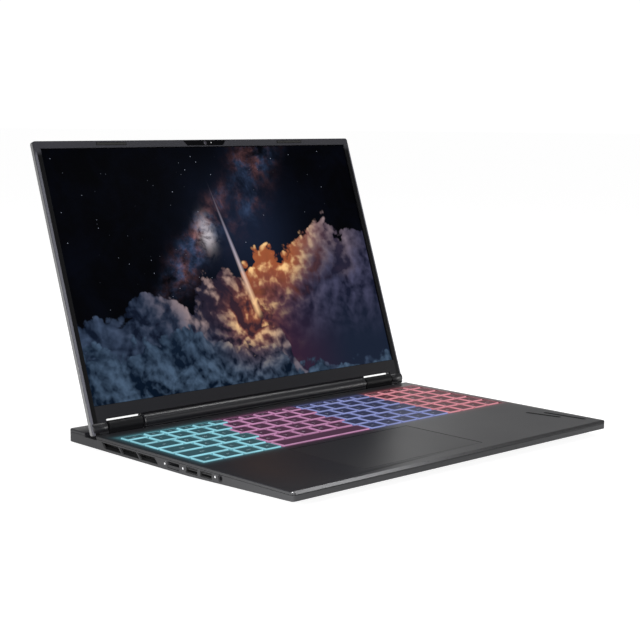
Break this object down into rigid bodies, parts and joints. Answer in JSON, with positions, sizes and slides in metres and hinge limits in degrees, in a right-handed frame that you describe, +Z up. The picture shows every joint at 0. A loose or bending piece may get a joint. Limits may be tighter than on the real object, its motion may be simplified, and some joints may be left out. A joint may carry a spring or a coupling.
{
  "type": "laptop computer",
  "caption": "Large performance laptop, lid open, with a backlit full keyboard and number pad, wide touchpad, slim-bezel display, side vents and side and rear connectors.",
  "frame": {"origin": "centre of the resting outline of the open laptop, on the surface it stands on", "axes": "+X to the user's right, -Y towards the user (front edge of the base), +Z up"},
  "size_m": [0.357, 0.3211, 0.2432],
  "materials": {
    "shell_metal": "dark anodised satin",
    "cover_metal": "matte paint",
    "black_plastic": "fine texture",
    "keycap": "soft-touch coat",
    "display_glass": "anti-glare, lit by its picture",
    "gloss_black": "gloss",
    "steel": "plated",
    "copper": "bare copper",
    "circuit_board": "solder mask",
    "rubber": "matte",
    "battery_wrap": "film wrapped",
    "backlight_sheet": "glowing diffuser sheet"
  },
  "bodies": {
    "base": {"top_case": "shell_metal", "bottom_cover": "cover_metal", "keyboard_plate": "backlight_sheet", "motherboard": "circuit_board", "heatsink": "copper", "heat_pipe_left": "copper", "heat_pipe_right": "copper", "fan_housing_left": "black_plastic", "fan_housing_right": "black_plastic", "fin_stack_side_left": "copper", "fin_stack_side_right": "copper", "fin_stack_rear_left": "copper", "fin_stack_rear_right": "copper", "battery": "battery_wrap", "ssd": "circuit_board", "memory_module": "circuit_board", "wifi_card": "circuit_board", "speaker_left": "black_plastic", "speaker_right": "black_plastic", "ethernet_port": "black_plastic", "usb_a_left_rear": "steel", "usb_a_left_front": "steel", "usb_a_right": "steel", "card_slot": "steel", "hdmi_port": "steel", "usb_c_port": "steel", "audio_jack": "black_plastic", "power_jack": "black_plastic", "foot_front_left": "rubber", "foot_front_right": "rubber", "foot_rear_left": "rubber", "foot_rear_right": "rubber", "hinge_block_left": "black_plastic", "hinge_block_right": "black_plastic"},
    "lid": {"lid_cover": "shell_metal", "display_bezel": "black_plastic", "display_panel": "display_glass", "webcam_module": "black_plastic", "webcam_window": "gloss_black", "lid_bumper_left": "rubber", "lid_bumper_right": "rubber", "hinge_leaf_left": "steel", "hinge_leaf_right": "steel"},
    "fan_rotor_left": {"fan_rotor_left": "black_plastic"},
    "fan_rotor_right": {"fan_rotor_right": "black_plastic"},
    "touchpad": {"touchpad": "shell_metal"},
    "ethernet_door": {"ethernet_door": "black_plastic"},
    "keys_bottom_row": {"keys_bottom_row": "keycap"},
    "keys_shift_row": {"keys_shift_row": "keycap"},
    "keys_home_row": {"keys_home_row": "keycap"},
    "keys_tab_row": {"keys_tab_row": "keycap"},
    "keys_number_row": {"keys_number_row": "keycap"},
    "keys_function_row": {"keys_function_row": "keycap"},
    "key_space": {"key_space": "keycap"},
    "key_enter": {"key_enter": "keycap"},
    "key_backspace": {"key_backspace": "keycap"},
    "key_escape": {"key_escape": "keycap"},
    "key_power": {"key_power": "keycap"}
  },
  "joints": [
    {"name": "lid_hinge", "type": "hinge", "parent": "base", "child": "lid", "pos_m": [0, 0.07909, 0.0167], "axis": [-1, 0, 0], "range_deg": [-109.3, 25.7]},
    {"name": "fan_spin_left", "type": "hinge", "parent": "base", "child": "fan_rotor_left", "pos_m": [-0.124, 0.02529, 0.0052], "axis": [0, 0, 1], "continuous": true},
    {"name": "fan_spin_right", "type": "hinge", "parent": "base", "child": "fan_rotor_right", "pos_m": [0.124, 0.02529, 0.0052], "axis": [0, 0, 1], "continuous": true},
    {"name": "touchpad_click", "type": "slide", "parent": "base", "child": "touchpad", "axis": [0, 0, -1], "range_m": [0, 0.0004], "stiffness_N_per_m": 4500, "springref_m": -0.0005},
    {"name": "ethernet_door_hinge", "type": "hinge", "parent": "base", "child": "ethernet_door", "pos_m": [-0.17785, -0.02821, 0.00515], "axis": [0, -1, 0], "range_deg": [0, 80], "stiffness_Nm_per_rad": 0.001, "springref_deg": -11.46},
    {"name": "keys_bottom_row_press", "type": "slide", "parent": "base", "child": "keys_bottom_row", "axis": [0, 0, -1], "range_m": [0, 0.0012], "stiffness_N_per_m": 900, "springref_m": -0.0008},
    {"name": "keys_shift_row_press", "type": "slide", "parent": "base", "child": "keys_shift_row", "axis": [0, 0, -1], "range_m": [0, 0.0012], "stiffness_N_per_m": 900, "springref_m": -0.0008},
    {"name": "keys_home_row_press", "type": "slide", "parent": "base", "child": "keys_home_row", "axis": [0, 0, -1], "range_m": [0, 0.0012], "stiffness_N_per_m": 900, "springref_m": -0.0008},
    {"name": "keys_tab_row_press", "type": "slide", "parent": "base", "child": "keys_tab_row", "axis": [0, 0, -1], "range_m": [0, 0.0012], "stiffness_N_per_m": 900, "springref_m": -0.0008},
    {"name": "keys_number_row_press", "type": "slide", "parent": "base", "child": "keys_number_row", "axis": [0, 0, -1], "range_m": [0, 0.0012], "stiffness_N_per_m": 900, "springref_m": -0.0008},
    {"name": "keys_function_row_press", "type": "slide", "parent": "base", "child": "keys_function_row", "axis": [0, 0, -1], "range_m": [0, 0.0012], "stiffness_N_per_m": 900, "springref_m": -0.0008},
    {"name": "key_space_press", "type": "slide", "parent": "base", "child": "key_space", "axis": [0, 0, -1], "range_m": [0, 0.0012], "stiffness_N_per_m": 400, "springref_m": -0.0008},
    {"name": "key_enter_press", "type": "slide", "parent": "base", "child": "key_enter", "axis": [0, 0, -1], "range_m": [0, 0.0012], "stiffness_N_per_m": 400, "springref_m": -0.0008},
    {"name": "key_backspace_press", "type": "slide", "parent": "base", "child": "key_backspace", "axis": [0, 0, -1], "range_m": [0, 0.0012], "stiffness_N_per_m": 400, "springref_m": -0.0008},
    {"name": "key_escape_press", "type": "slide", "parent": "base", "child": "key_escape", "axis": [0, 0, -1], "range_m": [0, 0.0012], "stiffness_N_per_m": 400, "springref_m": -0.0008},
    {"name": "key_power_press", "type": "slide", "parent": "base", "child": "key_power", "axis": [0, 0, -1], "range_m": [0, 0.0012], "stiffness_N_per_m": 400, "springref_m": -0.0008}
  ]
}
